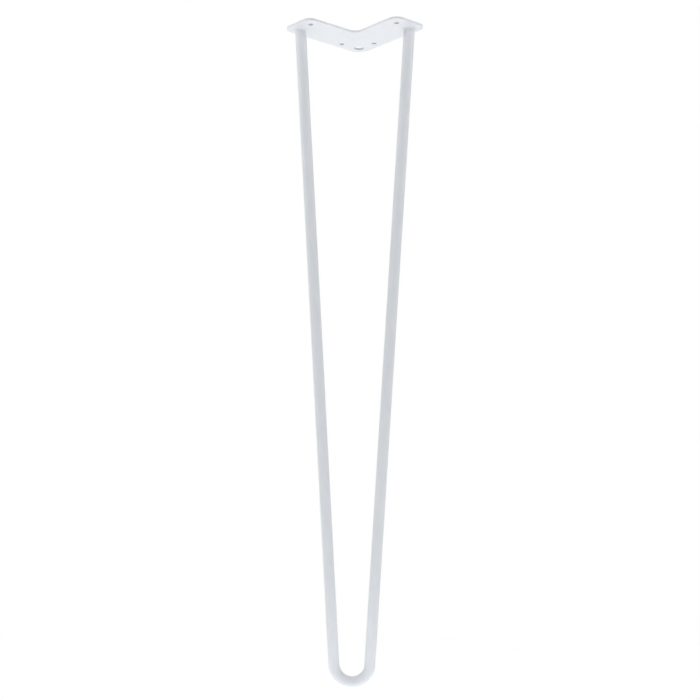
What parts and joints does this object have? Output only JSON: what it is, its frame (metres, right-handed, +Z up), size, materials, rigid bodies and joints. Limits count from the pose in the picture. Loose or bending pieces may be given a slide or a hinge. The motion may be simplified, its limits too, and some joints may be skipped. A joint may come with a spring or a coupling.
{
  "type": "hairpin table leg",
  "caption": "Hairpin table leg: a round steel bar bent into a narrow leaning hairpin and welded under a flat V-shaped screw plate, all in white powder coat.",
  "frame": {"origin": "on the axis of the plate's large corner hole, on the plate's top face, which lies against the table", "axes": "+Z up, into the table and along the leg's length; +Y from the plate's notch to its outer corner; X across the leg, with X = 0 the plane of symmetry"},
  "size_m": [0.1472, 0.1117, 0.7099],
  "materials": {
    "powder_coat": "white satin powder coat with a fine orange-peel texture"
  },
  "bodies": {
    "root": {"mounting_plate": "powder_coat", "hairpin_rod": "powder_coat", "left_weld": "powder_coat", "right_weld": "powder_coat"}
  },
  "joints": []
}
